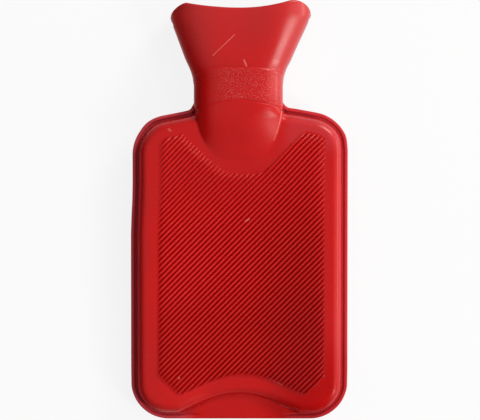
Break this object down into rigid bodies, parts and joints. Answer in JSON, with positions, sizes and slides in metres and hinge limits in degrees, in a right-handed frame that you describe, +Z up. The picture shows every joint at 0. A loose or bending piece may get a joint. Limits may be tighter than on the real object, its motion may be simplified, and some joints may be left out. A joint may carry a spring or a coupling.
{
  "type": "hot water bottle",
  "caption": "Moulded rubber hot water bottle lying on its back, with a diagonally ribbed front, a flared filling funnel and a screw stopper with a sealing washer.",
  "frame": {"origin": "centre of the bottle's bounding box, on the surface that it lies on", "axes": "+Z up out of the ribbed front, +Y towards the mouth of the funnel, X across the width"},
  "size_m": [0.147, 0.2838, 0.046],
  "materials": {
    "bottle_rubber": "satin moulded natural rubber",
    "socket_brass": "turned brass",
    "washer_rubber": "matt",
    "stopper_plastic": "moulded, fine matt"
  },
  "bodies": {
    "shell": {"bottle": "bottle_rubber", "neck_socket": "socket_brass"},
    "washer": {"sealing_washer": "washer_rubber"},
    "plug": {"stopper": "stopper_plastic"}
  },
  "joints": [
    {"name": "stopper_lift", "type": "slide", "parent": "shell", "child": "washer", "axis": [0, 0.9991, 0.0414], "range_m": [0, 0.014]},
    {"name": "stopper_turn", "type": "hinge", "parent": "washer", "child": "plug", "pos_m": [0, 0.09082, 0.02112], "axis": [0, 0.9991, 0.0414], "range_deg": [0, 1440]}
  ],
  "couplings": [
    {"joint": "stopper_lift", "follows": "stopper_turn", "m_per_rad": 0.000557}
  ]
}
